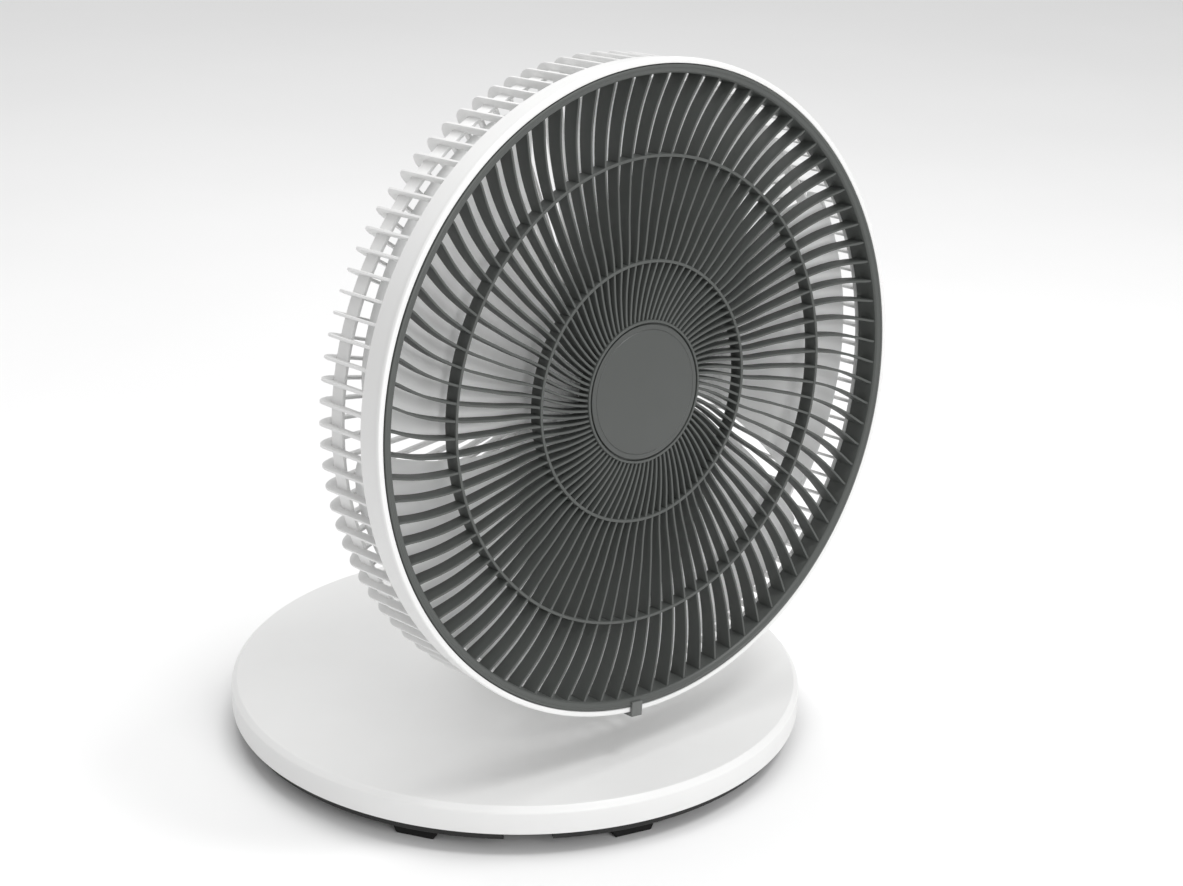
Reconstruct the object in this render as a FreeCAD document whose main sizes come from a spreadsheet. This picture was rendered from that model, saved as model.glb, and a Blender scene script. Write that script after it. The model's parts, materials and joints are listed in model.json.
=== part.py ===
import FreeCAD
import Part
import math
import os
import re
import Sketcher
from FreeCAD import Placement, Rotation, Vector

# A round table fan on a disc base, in millimetres. +Z is up and the fan blows towards -Y.
# The origin is on the floor under the middle of the disc, where the neck turns.
# Head pieces are drawn in the head's own frame: Z is the depth behind the front ring,
# Y points down and X is the same as the row's X. HEAD then stands them in place.

SIZES = {
    # base
    "disc_radius": 182, "disc_bottom": 15, "disc_top": 32.5, "dome_top": 36, "crest_round": 5,
    "shell": 2.5, "skirt_radius": 178, "skirt_wall": 3, "step_bottom": 9.3, "pan_radius": 146,
    "plate_bottom": 6.5, "plate_thick": 2.5, "flange_radius": 178.8,
    "foot_count": 8, "foot_turn": -14, "foot_width": 31, "foot_inner": 148, "foot_outer": 170,
    "foot_chamfer": 4,
    "notch_turn": -36, "notch_width": 29, "opening_radius": 29.5,
    "weight_inner": 62, "weight_outer": 142, "weight_thick": 9,
    "inlet_height": 23, "inlet_radius": 5, "inlet_bore": 3.5, "inlet_length": 9,
    "screw_radius": 2, "screw_head": 3.8, "screw_head_thick": 2.2, "screw_bite": 8,
    "screw_circle": 168, "lug_radius": 5.2,
    "board_left": -84, "board_front": 70, "board_wide": 64, "board_deep": 36, "board_thick": 1.6,
    "post_height": 4, "post_radius": 2.5,
    # swing drive
    "boss_radius": 22, "bush_radius": 18, "journal_radius": 14, "wire_radius": 8, "boss_top": 21,
    "running_gap": 0.05, "gear_bottom": 21.3, "gear_thick": 4, "gear_teeth": 48,
    "pinion_teeth": 18, "gear_module": 1.5, "gear_backlash": 0.35, "pinion_turn": 60,
    "motor_can_radius": 17, "motor_can_top": 20.5, "pinion_shaft_radius": 2.5,
    "pinion_shaft_bottom": 13, "motor_ear": 7, "motor_ear_wide": 9, "motor_ear_thick": 2,
    # neck
    "neck_foot_radius": 28.5, "neck_waist_radius": 24, "neck_waist": 110,
    "neck_shoulder_radius": 22.5, "neck_shoulder": 160, "neck_top": 171, "neck_wall": 2.5,
    "pivot_height": 184, "ear_inner": 8, "ear_outer": 13, "ear_radius": 11, "yoke_bottom": 146,
    "yoke_floor": 164, "pin_radius": 4, "tilt_nut_radius": 12, "tilt_nut_length": 11,
    "knob_height": 112, "knob_radius": 14, "knob_length": 13, "spindle_radius": 3,
    "button_height": 74, "button_radius": 6, "button_length": 13,
    "switch_side": 26, "switch_deep": 13, "small_switch_side": 15, "small_switch_deep": 8,
    # head
    "head_forward": 124, "head_height": 257, "head_tilt": 5,
    "ring_radius": 190, "ring_inner": 185, "ring_depth": 16, "fin_front": 6, "fin_back": 15,
    "fin_count": 88, "fin_thick": 1.6, "band_thick": 1.8, "hub_radius": 43,
    "band_one": 77, "band_two": 138, "sweep_one": 9, "sweep_two": 12.5, "sweep_rim": 17.5,
    "badge_radius": 39, "badge_front": 3, "badge_groove": 35.5,
    "rim_radius": 194, "rim_inner": 190.4, "rim_front": 1, "collar_back": 20, "ledge_front": 16.4,
    "rib_count": 96, "rib_thick": 1.8, "rib_outer": 192, "rib_height": 5, "rib_back": 68,
    "rib_round": 12, "hoop_front": 44, "hoop_back": 54, "plate_radius": 62, "mount_face": 62,
    "latch_width": 8, "latch_depth": 9, "latch_turn": 6.25,
    # motor and blades
    "cover_radius": 56, "cover_back": 114, "cover_wall": 2.5, "cover_round": 12,
    "shield_radius": 53.3, "shield_thick": 4, "nose_radius": 17, "nose_front": 49,
    "stator_side": 70, "stator_radius": 46, "stator_front": 72, "stator_back": 96,
    "stator_bore": 18.5, "rotor_radius": 18, "coil_inner": 22, "coil_outer": 33,
    "coil_thick": 5, "bearing_radius": 8, "shaft_radius": 4, "shaft_front": 18,
    "bolt_circle": 41, "bolt_radius": 2, "back_shield": 104, "nut_radius": 26,
    "capacitor_wide": 28, "capacitor_deep": 9, "capacitor_long": 20, "nut_length": 7,
    "vent_long": 17, "vent_wide": 2.6, "vent_start": 19, "front_bearing_long": 12,
    "rear_bearing_long": 9,
    "impeller_radius": 180, "impeller_hub": 38, "impeller_front": 22, "impeller_back": 46,
    "cup_wall": 3, "cup_floor": 4, "sleeve_radius": 9, "spinner_radius": 12,
    "blade_count": 5, "blade_turn": 27, "blade_thick": 2.4, "blade_span_hub": 58,
    "blade_span_tip": 66, "blade_lead": 14, "blade_front": 19, "blade_back": 30,
    "lip_thick": 1.6, "lip_depth": 20,
}

doc = FreeCAD.newDocument("TableFan")
sheet = doc.addObject("Spreadsheet::Sheet", "Sizes")
for row, (word, value) in enumerate(SIZES.items(), start=1):
    sheet.set(f"A{row}", word)
    sheet.set(f"B{row}", str(value))
    sheet.setAlias(f"B{row}", word)
doc.recompute()

nodes = []


def size(word):
    """The value of one cell of the sheet."""
    return float(sheet.get(word))


def cells(text):
    """An expression written with bare words, turned into one that names the sheet's cells."""
    return re.sub(r"[a-z_]{3,}", lambda found: "Sizes." + found.group(0), text)


def bind(thing, **expressions):
    """Bind properties of a document object to expressions of sheet words."""
    for name, text in expressions.items():
        thing.setExpression(name, cells(text))
    return thing


def shift(thing, where):
    """Bind an object's position to three expressions of sheet words."""
    for letter, text in zip("xyz", where):
        if text != "0":
            thing.setExpression("Placement.Base." + letter, cells(text))
    return thing


UPRIGHT = Rotation()
ALONG_X = Rotation(Vector(0, 1, 0), 90)
ALONG_Y = Rotation(Vector(1, 0, 0), -90)
ORIGIN = ("0", "0", "0")


def cylinder(name, radius, length, where=ORIGIN, turned=UPRIGHT):
    thing = doc.addObject("Part::Cylinder", name)
    thing.Placement = Placement(Vector(), turned)
    return shift(bind(thing, Radius=radius, Height=length), where)


def box(name, wide, deep, high, where):
    thing = doc.addObject("Part::Box", name)
    return shift(bind(thing, Length=wide, Width=deep, Height=high), where)


def cut(name, base, tool):
    thing = doc.addObject("Part::Cut", name)
    thing.Base = base
    thing.Tool = tool
    return thing


def fuse(name, *pieces):
    thing = doc.addObject("Part::MultiFuse", name)
    thing.Shapes = list(pieces)
    return thing


def group(name, *pieces):
    """Several like solids that share one node, such as a set of screws."""
    thing = doc.addObject("Part::Compound", name)
    thing.Links = list(pieces)
    return thing


def ring(name, outer, inner, length, where=ORIGIN, turned=UPRIGHT):
    return cut(name, cylinder(name + "Outside", outer, length, where, turned),
               cylinder(name + "Inside", inner, length, where, turned))


def made(name, shape):
    """A piece whose shape is worked out from the sheet in this script."""
    thing = doc.addObject("Part::Feature", name)
    thing.Shape = shape
    return thing


def node(name, thing, place=Placement()):
    """Name a finished sub-part and stand it in its place."""
    thing.Label = name
    thing.Placement = place
    nodes.append(thing)


def origin_plane(body, role):
    return next(plane for plane in body.Origin.OriginFeatures if plane.Role == role)


def outline(sketch, corners):
    """A closed outline whose corners are held by (across, up) expressions of sheet words."""
    count = len(corners)
    rough = [Vector(20 + 5 * math.cos(2 * math.pi * i / count),
                    20 + 5 * math.sin(2 * math.pi * i / count), 0) for i in range(count)]
    for i in range(count):
        sketch.addGeometry(Part.LineSegment(rough[i], rough[(i + 1) % count]), False)
    for i in range(count):
        sketch.addConstraint(Sketcher.Constraint("Coincident", i, 2, (i + 1) % count, 1))
    for i, (across, up) in enumerate(corners):
        for kind, start, text in (("DistanceX", rough[i].x, across), ("DistanceY", rough[i].y, up)):
            index = sketch.addConstraint(Sketcher.Constraint(kind, -1, 1, i, 1, start))
            sketch.setExpression(f"Constraints[{index}]", cells(text))


def turned_body(name, corners):
    """A body turned about Z from a closed outline of (radius, height) expressions."""
    body = doc.addObject("PartDesign::Body", name)
    sketch = body.newObject("Sketcher::SketchObject", name + "Outline")
    sketch.AttachmentSupport = [(origin_plane(body, "XZ_Plane"), "")]
    sketch.MapMode = "FlatFace"
    outline(sketch, corners)
    turn = body.newObject("PartDesign::Revolution", name + "Turn")
    turn.Profile = sketch
    turn.ReferenceAxis = (sketch, ["V_Axis"])
    turn.Angle = 360
    doc.recompute()
    return body


def round_rims(body, name, radius, rims):
    """Round the circular edges of a turned body that have the given (radius, height)."""
    base = body.Tip
    names = []
    for index, edge in enumerate(base.Shape.Edges, start=1):
        point = edge.Vertexes[0].Point
        here = (math.hypot(point.x, point.y), point.z)
        if any(math.dist(here, rim) < 0.05 for rim in rims):
            names.append(f"Edge{index}")
    smooth = body.newObject("PartDesign::Fillet", name)
    smooth.Base = (base, names)
    smooth.setExpression("Radius", cells(radius))
    body.Tip = smooth
    return body


def polar(radius, degrees, height=0.0):
    """A point on a circle, from +X towards +Y."""
    angle = math.radians(degrees)
    return Vector(radius * math.cos(angle), radius * math.sin(angle), height)


def facing(radius, degrees, height=0.0):
    """A point on a circle seen from above, with 0 degrees at the front and +X at 90."""
    return polar(radius, degrees - 90, height)


def head_placement():
    spot = Vector(0, -size("head_forward"), size("head_height"))
    return Placement(spot, Rotation(Vector(-1, 0, 0), 90 + size("head_tilt")))


def pivot_in_head():
    """The tilt pivot in the head's own frame."""
    spot = Vector(0, 0, size("pivot_height"))
    return head_placement().inverse().multVec(spot)


HEAD = head_placement()
PIVOT = pivot_in_head()


# ---------------------------------------------------------------- base

def base_cover():
    """The white disc: a shallow domed shell with a round hole for the neck."""
    body = turned_body("BaseShell", [
        ("disc_radius", "disc_bottom"), ("disc_radius", "disc_top"),
        ("opening_radius", "dome_top"), ("opening_radius", "dome_top - shell"),
        ("disc_radius - crest_round", "disc_top - shell"),
        ("disc_radius - shell", "disc_top - crest_round"), ("disc_radius - shell", "disc_bottom")])
    round_rims(body, "Crest", "crest_round", [(size("disc_radius"), size("disc_top"))])
    hole = cylinder("InletHole", "inlet_radius", "3 * inlet_length",
                    ("0", "disc_radius - 2 * inlet_length", "inlet_height"), ALONG_Y)
    node("base_cover", cut("BaseCover", body, hole))


def base_plate():
    """The black bottom plate: a pan with a raised rim, a short skirt and a boss for the bush."""
    body = turned_body("Tray", [
        ("bush_radius", "plate_bottom"), ("pan_radius", "plate_bottom"),
        ("pan_radius", "step_bottom"), ("skirt_radius", "step_bottom"),
        ("skirt_radius", "disc_bottom"), ("flange_radius", "disc_bottom"),
        ("flange_radius", "disc_bottom + plate_thick"),
        ("skirt_radius - skirt_wall", "disc_bottom + plate_thick"),
        ("skirt_radius - skirt_wall", "step_bottom + plate_thick"),
        ("pan_radius - skirt_wall", "step_bottom + plate_thick"),
        ("pan_radius - skirt_wall", "plate_bottom + plate_thick"),
        ("boss_radius", "plate_bottom + plate_thick"), ("boss_radius", "boss_top"),
        ("bush_radius", "boss_top")])
    notch = box("Notch", "notch_width", "4 * skirt_wall", "disc_bottom - step_bottom", ORIGIN)
    angle = size("notch_turn")
    corner = facing(size("skirt_radius") + size("skirt_wall"), angle, size("step_bottom") - 1)
    turned = Rotation(Vector(0, 0, 1), angle)
    notch.Placement = Placement(corner - turned.multVec(Vector(size("notch_width") / 2, 0, 0)), turned)
    holes = group("PlateHoles", *[cylinder(f"PlateHole{i}", "screw_radius", "3 * plate_thick")
                                  for i in range(4)])
    for i, hole in enumerate(holes.Links):
        hole.Placement = Placement(screw_spot(i, size("step_bottom") - 1), Rotation())
    node("base_plate", cut("BasePlate", cut("NotchedTray", body, notch), holes))


def screw_spot(index, height):
    """The place of one of the four base screws, half way between two feet."""
    between = size("foot_turn") + 180 / size("foot_count")
    return facing(size("screw_circle"), between + 90 * index, height)


def rubber_feet():
    """Eight block feet with sloping ends, under the raised rim of the plate."""
    long_half = size("foot_width") / 2
    chamfer = size("foot_chamfer")
    top = size("step_bottom")
    feet = []
    for i in range(int(size("foot_count"))):
        ends = [Vector(-long_half, 0, top), Vector(long_half, 0, top),
                Vector(long_half - chamfer, 0, 0), Vector(chamfer - long_half, 0, 0)]
        face = Part.Face(Part.makePolygon(ends + ends[:1]))
        block = face.extrude(Vector(0, size("foot_outer") - size("foot_inner"), 0))
        angle = size("foot_turn") + i * 360 / size("foot_count")
        block.Placement = Placement(facing(size("foot_outer"), angle), Rotation(Vector(0, 0, 1), angle))
        feet.append(block)
    node("rubber_feet", made("RubberFeet", Part.makeCompound(feet)))


def base_weight():
    """A half ring of steel in the front of the base, under the overhanging head."""
    disc = cylinder("WeightDisc", "weight_outer", "weight_thick",
                    ("0", "0", "plate_bottom + plate_thick"))
    disc.Angle = 180
    disc.Placement = Placement(disc.Placement.Base, Rotation(Vector(0, 0, 1), 180))
    shift(disc, ("0", "0", "plate_bottom + plate_thick"))
    hole = cylinder("WeightHole", "weight_inner", "weight_thick",
                    ("0", "0", "plate_bottom + plate_thick"))
    node("base_weight", cut("BaseWeight", disc, hole))


def base_screws():
    """Four screws that hold the cover's lugs down to the plate."""
    screws = []
    for i in range(4):
        head = cylinder(f"BaseScrewHead{i}", "screw_head", "screw_head_thick")
        bottom = size("step_bottom") - size("screw_head_thick")
        head.Placement = Placement(screw_spot(i, bottom), Rotation())
        stem = cylinder(f"BaseScrewStem{i}", "screw_radius", "plate_thick + screw_bite")
        stem.Placement = Placement(screw_spot(i, size("step_bottom") - 0.2), Rotation())
        screws.append(fuse(f"BaseScrew{i}", head, stem))
    node("base_screws", group("BaseScrews", *screws))


def base_lugs():
    """Four round lugs under the cover that the base screws bite into."""
    lugs = []
    for i in range(4):
        lug = ring(f"BaseLug{i}", "lug_radius", "screw_radius",
                   "disc_top - shell - step_bottom - plate_thick - 0.5")
        lug.Placement = Placement(screw_spot(i, size("step_bottom") + size("plate_thick")), Rotation())
        lugs.append(lug)
    node("base_lugs", group("BaseLugs", *lugs))


def cord_inlet():
    """The round grommet in the back of the disc where the supply cord goes in."""
    start = ("0", "disc_radius - inlet_length", "inlet_height")
    node("cord_inlet", ring("CordInlet", "inlet_radius", "inlet_bore", "inlet_length - 0.3",
                            start, ALONG_Y))


def control_board():
    """A small circuit board with its relay and terminal block, behind the neck."""
    floor = "plate_bottom + plate_thick"
    top = floor + " + post_height + board_thick"
    board = box("Board", "board_wide", "board_deep", "board_thick",
                ("board_left", "board_front", floor + " + post_height"))
    relay = box("Relay", "18", "14", "8", ("board_left + 10", "board_front + 8", top))
    block = box("TerminalBlock", "22", "9", "7", ("board_left + 36", "board_front + 22", top))
    corners = [(x, y) for x in ("board_left + 4", "board_left + board_wide - 4")
               for y in ("board_front + 4", "board_front + board_deep - 4")]
    posts = [cylinder(f"BoardPost{i}", "post_radius", "post_height", (x, y, floor))
             for i, (x, y) in enumerate(corners)]
    node("control_board", fuse("ControlBoard", board, relay, block, *posts))


# ---------------------------------------------------------------- swing drive

def gear_shape(teeth, bore, turn):
    """A spur gear with involute flanks and one tooth centred on the angle turn."""
    module = size("gear_module")
    pitch = module * teeth / 2
    base = pitch * math.cos(math.radians(20))
    tip = pitch + module
    root = pitch - 1.25 * module
    half_pitch_angle = (math.pi * module / 2 - size("gear_backlash")) / pitch / 2
    roll = math.tan(math.radians(20)) - math.radians(20)
    start = max(base, root)

    def flank(radius):
        pressure = math.acos(min(1.0, base / radius))
        return half_pitch_angle + roll - (math.tan(pressure) - pressure)

    radii = [start + (tip - start) * step / 4 for step in range(5)]
    corners = []
    for i in range(teeth):
        middle = turn + 360 * i / teeth
        side = [(radius, math.degrees(flank(radius))) for radius in radii]
        foot = [(root, side[0][1] + 0.4)]
        corners += [polar(radius, middle - angle) for radius, angle in foot + side]
        corners += [polar(radius, middle + angle) for radius, angle in reversed(foot + side)]
    wires = [Part.makePolygon(corners + corners[:1]), Part.Wire(Part.makeCircle(bore))]
    face = Part.makeFace(wires, "Part::FaceMakerBullseye")
    return face.extrude(Vector(0, 0, size("gear_thick")))


def swing_gear():
    """The turntable: a gear with a hollow journal that turns in the base bush."""
    wheel = gear_shape(int(size("gear_teeth")), size("wire_radius"), 0)
    wheel.translate(Vector(0, 0, size("gear_bottom")))
    start = Vector(0, 0, size("plate_bottom") + 1)
    length = size("gear_bottom") - start.z + size("gear_thick") / 2
    sleeve = Part.makeCylinder(size("journal_radius"), length, start)
    hollow = Part.makeCylinder(size("wire_radius"), length, start)
    node("swing_gear", made("SwingGear", wheel.fuse(sleeve.cut(hollow)).removeSplitter()))


def swing_bush():
    node("swing_bush", ring("SwingBush", "bush_radius", "journal_radius + running_gap",
                            "boss_top - plate_bottom", ("0", "0", "plate_bottom")))


def pinion_axis(height):
    teeth = size("gear_teeth") + size("pinion_teeth")
    return polar(size("gear_module") * teeth / 2, size("pinion_turn"), height)


def swing_pinion():
    """The small gear on the swing motor, in mesh with the turntable."""
    teeth = int(size("pinion_teeth"))
    turn = size("pinion_turn") + 180 + 180 / teeth
    piece = made("SwingPinion", gear_shape(teeth, size("pinion_shaft_radius"), turn))
    node("swing_pinion", piece, Placement(pinion_axis(size("gear_bottom")), Rotation()))
    stem = cylinder("PinionShaft", "pinion_shaft_radius", "gear_bottom + gear_thick - pinion_shaft_bottom")
    node("pinion_shaft", stem, Placement(pinion_axis(size("pinion_shaft_bottom")), Rotation()))


def swing_motor():
    """The flat gear motor under the pinion, with two fixing lugs."""
    floor = size("plate_bottom") + size("plate_thick")
    can = cylinder("MotorCan", "motor_can_radius", "motor_can_top - plate_bottom - plate_thick")
    ears = box("MotorEars", "2 * motor_can_radius + 2 * motor_ear", "motor_ear_wide",
               "motor_ear_thick", ("-motor_can_radius - motor_ear", "-motor_ear_wide / 2", "0"))
    hole = cylinder("MotorCanHole", "pinion_shaft_radius + running_gap", "motor_can_top",
                    ("0", "0", "pinion_shaft_bottom - 0.3 - plate_bottom - plate_thick"))
    node("swing_motor", cut("SwingMotor", fuse("MotorBody", can, ears), hole),
         Placement(pinion_axis(floor), Rotation()))


# ---------------------------------------------------------------- neck

# height of each neck screw, and how far its pillar reaches forward into the front half
NECK_SCREWS = (("50", "25.8"), ("134", "22"))


def neck_shells():
    """The neck: a tapering hollow column in a front half and a rear half."""
    corners = [("neck_foot_radius", "gear_bottom + gear_thick"),
               ("neck_waist_radius", "neck_waist"), ("neck_shoulder_radius", "neck_shoulder"),
               ("neck_shoulder_radius - 7", "neck_top"), ("2", "neck_top"),
               ("2", "neck_top - neck_wall"), ("neck_shoulder_radius - 8", "neck_top - neck_wall"),
               ("neck_shoulder_radius - neck_wall", "neck_shoulder"),
               ("neck_waist_radius - neck_wall", "neck_waist"),
               ("neck_foot_radius - neck_wall", "gear_bottom + gear_thick")]
    slot = box("NeckSlot", "2 * ear_outer + 0.4", "2 * ear_radius + 0.4", "3 * neck_wall",
               ("-ear_outer - 0.2", "-ear_radius - 0.2", "neck_top - 2 * neck_wall"))
    column = cut("NeckColumn", turned_body("NeckTurn", corners), slot)
    half = box("NeckHalf", "4 * neck_foot_radius", "2 * neck_foot_radius", "2 * neck_top",
               ("-2 * neck_foot_radius", "0", "0"))
    front = cut("NeckFrontHalf", column, half)
    pillars = [cylinder(f"NeckPillar{i}", "4.5", reach, ("0", "-" + reach, z), ALONG_Y)
               for i, (z, reach) in enumerate(NECK_SCREWS)]
    sockets = group("NeckSockets", *[cylinder(f"NeckSocket{i}", "1.5", "12", ("0", "-11", z), ALONG_Y)
                                     for i, (z, reach) in enumerate(NECK_SCREWS)])
    node("neck_front", cut("NeckFront", fuse("NeckFrontPillars", front, *pillars), sockets))
    rear_half = doc.addObject("Part::Common", "NeckRearHalf")
    rear_half.Base = column
    rear_half.Tool = half
    knob_hole = cylinder("KnobHole", "spindle_radius + 1", "20", ("0", "12", "knob_height"), ALONG_Y)
    button_hole = cylinder("ButtonHole", "button_radius + 0.4", "20", ("0", "12", "button_height"), ALONG_Y)
    screw_holes = [cylinder(f"NeckScrewHole{i}", "3.4", "20", ("0", "12", z), ALONG_Y)
                   for i, (z, reach) in enumerate(NECK_SCREWS)]
    node("neck_rear", cut("NeckRear", rear_half, group("NeckRearHoles", knob_hole, button_hole,
                                                       *screw_holes)))


def neck_screws():
    """Two screws from the back of the neck into the front half's pillars."""
    screws = []
    for i, (z, reach) in enumerate(NECK_SCREWS):
        stem = cylinder(f"NeckScrewStem{i}", "1.5", "neck_waist_radius + 8", ("0", "-11", z), ALONG_Y)
        head = cylinder(f"NeckScrewHead{i}", "3.2", "2.4", ("0", "neck_waist_radius - 3.4", z), ALONG_Y)
        screws.append(fuse(f"NeckScrew{i}", stem, head))
    node("neck_screws", group("NeckScrews", *screws))


def tilt_yoke():
    """The fork at the top of the neck: two ears that hold the tilt pin."""
    block = box("YokeBlock", "2 * ear_outer", "2 * ear_radius", "pivot_height - yoke_bottom",
                ("-ear_outer", "-ear_radius", "yoke_bottom"))
    crown = cylinder("YokeCrown", "ear_radius", "2 * ear_outer", ("-ear_outer", "0", "pivot_height"),
                     ALONG_X)
    gap = box("YokeGap", "2 * ear_inner", "4 * ear_radius", "2 * ear_radius + pivot_height - yoke_floor",
              ("-ear_inner", "-2 * ear_radius", "yoke_floor"))
    bore = cylinder("YokeBore", "pin_radius", "4 * ear_outer", ("-2 * ear_outer", "0", "pivot_height"),
                    ALONG_X)
    wires = cylinder("YokeWires", "4", "yoke_floor - yoke_bottom", ("0", "0", "yoke_bottom"))
    node("tilt_yoke", cut("TiltYoke", fuse("YokeBody", block, crown),
                          group("YokeCuts", gap, bore, wires)))


def tilt_fastener():
    """The tilt pin through both ears, with its head on one side and a hand nut on the other."""
    stem = cylinder("PinStem", "pin_radius", "2 * ear_outer + tilt_nut_length",
                    ("-ear_outer", "0", "pivot_height"), ALONG_X)
    head = cylinder("PinHead", "1.8 * pin_radius", "3", ("-ear_outer - 3", "0", "pivot_height"), ALONG_X)
    node("tilt_pin", fuse("TiltPin", stem, head))
    nut = ring("NutBlank", "tilt_nut_radius", "pin_radius", "tilt_nut_length",
               ("ear_outer", "0", "pivot_height"), ALONG_X)
    grips = []
    for i in range(8):
        spot = Vector(size("ear_outer") - 1, 0, size("pivot_height")) + Vector(
            0, *tuple(polar(size("tilt_nut_radius") + 1.5, 45 * i))[:2])
        grip = cylinder(f"NutGrip{i}", "3", "tilt_nut_length + 2", ORIGIN, ALONG_X)
        grip.Placement = Placement(spot, ALONG_X)
        grips.append(grip)
    node("tilt_nut", cut("TiltNut", nut, group("NutGrips", *grips)))


def speed_control():
    """The turning speed switch in the neck with its spindle and knob."""
    switch = box("SwitchBox", "switch_side", "switch_deep", "switch_side",
                 ("-switch_side / 2", "-6", "knob_height - switch_side / 2"))
    socket = cylinder("SwitchSocket", "spindle_radius + running_gap", "8", ("0", "0", "knob_height"),
                      ALONG_Y)
    node("speed_switch", cut("SpeedSwitch", switch, socket))
    node("speed_spindle", cylinder("Spindle", "spindle_radius", "neck_waist_radius + 8"),
         Placement(Vector(0, 0.5, size("knob_height")), ALONG_Y))
    body = turned_body("SpeedKnob", [
        ("spindle_radius", "0"), ("knob_radius", "0"), ("knob_radius", "2"),
        ("knob_radius - 2", "3"), ("knob_radius - 2.6", "knob_length"),
        ("spindle_radius", "knob_length")])
    spot = Vector(0, size("neck_waist_radius") + 1.2, size("knob_height"))
    node("speed_knob", body, Placement(spot, ALONG_Y))


def swing_control():
    """The push button that starts and stops the swing, and the switch behind it."""
    button = cylinder("SwingButton", "button_radius", "button_length")
    start = size("neck_waist_radius") + 5.5 - size("button_length")
    node("swing_button", button, Placement(Vector(0, start, size("button_height")), ALONG_Y))
    side = size("small_switch_side")
    switch = box("SwingSwitch", "small_switch_side", "small_switch_deep", "small_switch_side", ORIGIN)
    corner = Vector(-side / 2, 3, size("button_height") - side / 2)
    node("swing_switch", switch, Placement(corner, Rotation()))


# ---------------------------------------------------------------- guards

def sweep(radius):
    """How far a front fin has turned, in degrees, at this radius."""
    marks = [(size("hub_radius"), 0.0), (size("band_one"), size("sweep_one")),
             (size("band_two"), size("sweep_two")), (size("ring_inner"), size("sweep_rim"))]
    for (low, before), (high, after) in zip(marks, marks[1:]):
        if radius <= high:
            return before + (after - before) * (radius - low) / (high - low)
    return marks[-1][1]


def fin_edge(index, side, inner, outer):
    """One curved edge of a front fin, as three points from the inside out."""
    pitch = 360 / size("fin_count")
    points = []
    for radius in (inner, (inner + outer) / 2, outer):
        half = math.degrees(size("fin_thick") / 2 / radius)
        points.append(polar(radius, index * pitch + sweep(radius) + side * half))
    return points


def middle_of(first, second):
    """The point half way along the circle between two points."""
    return (first + second).normalize() * first.Length


def fin_window(index, inner, outer):
    """The opening between two neighbouring fins."""
    left = fin_edge(index, 1, inner, outer)
    right = fin_edge(index + 1, -1, inner, outer)
    edges = [Part.Arc(*left).toShape(),
             Part.Arc(left[2], middle_of(left[2], right[2]), right[2]).toShape(),
             Part.Arc(*reversed(right)).toShape(),
             Part.Arc(right[0], middle_of(right[0], left[0]), left[0]).toShape()]
    return Part.Wire(edges)


def front_grille():
    """The dark front guard: curved fins between a hub, two bands and a deep outer ring."""
    half = size("band_thick") / 2
    steps = [(size("hub_radius"), size("band_one") - half),
             (size("band_one") + half, size("band_two") - half),
             (size("band_two") + half, size("ring_inner") - 0.6)]
    wires = [Part.Wire(Part.makeCircle(size("ring_inner") + 0.4))]
    for inner, outer in steps:
        wires += [fin_window(i, inner, outer) for i in range(int(size("fin_count")))]
    net = Part.makeFace(wires, "Part::FaceMakerBullseye")
    fins = net.extrude(Vector(0, 0, size("fin_back") - size("fin_front")))
    fins.translate(Vector(0, 0, size("fin_front")))
    rim = Part.makeCylinder(size("ring_radius"), size("ring_depth"))
    rim = rim.cut(Part.makeCylinder(size("ring_inner"), size("ring_depth")))
    node("front_grille", made("FrontGrille", fins.fuse(rim)), HEAD)


def hub_badge():
    """The plain round cap in the middle of the front guard, with a shallow groove."""
    disc = cylinder("BadgeDisc", "badge_radius", "fin_front - badge_front", ("0", "0", "badge_front"))
    groove = ring("BadgeGroove", "badge_groove", "badge_groove - 1", "0.8", ("0", "0", "badge_front"))
    node("hub_badge", cut("HubBadge", disc, groove), HEAD)


def rib_outline():
    """One rib of the rear guard, from the collar round the corner to the middle plate."""
    outer, height = size("rib_outer"), size("rib_height")
    back, bend = size("rib_back"), size("rib_round")
    front, centre, mount = size("collar_back") - 0.5, size("plate_radius") - 3, size("mount_face")
    diagonal = math.sqrt(0.5)

    def point(radius, depth):
        return Vector(radius, 0, depth)

    def arc(radius, bend_radius):
        hub = (radius - bend_radius, back - bend)
        mid = point(hub[0] + bend_radius * diagonal, hub[1] + bend_radius * diagonal)
        return Part.Arc(point(radius, hub[1]), mid, point(hub[0], hub[1] + bend_radius)).toShape()

    def line(*ends):
        return Part.makeLine(*[point(*end) for end in ends])

    corner = back - bend
    inside = outer - height
    small = bend - height
    return Part.Wire([
        line((outer, front), (outer, corner)), arc(outer, bend),
        line((outer - bend, back), (centre, mount)), line((centre, mount), (centre, mount - height)),
        line((centre, mount - height), (inside - small, back - height)), arc(inside, small),
        line((inside, corner), (inside, front)), line((inside, front), (outer, front))])


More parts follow.
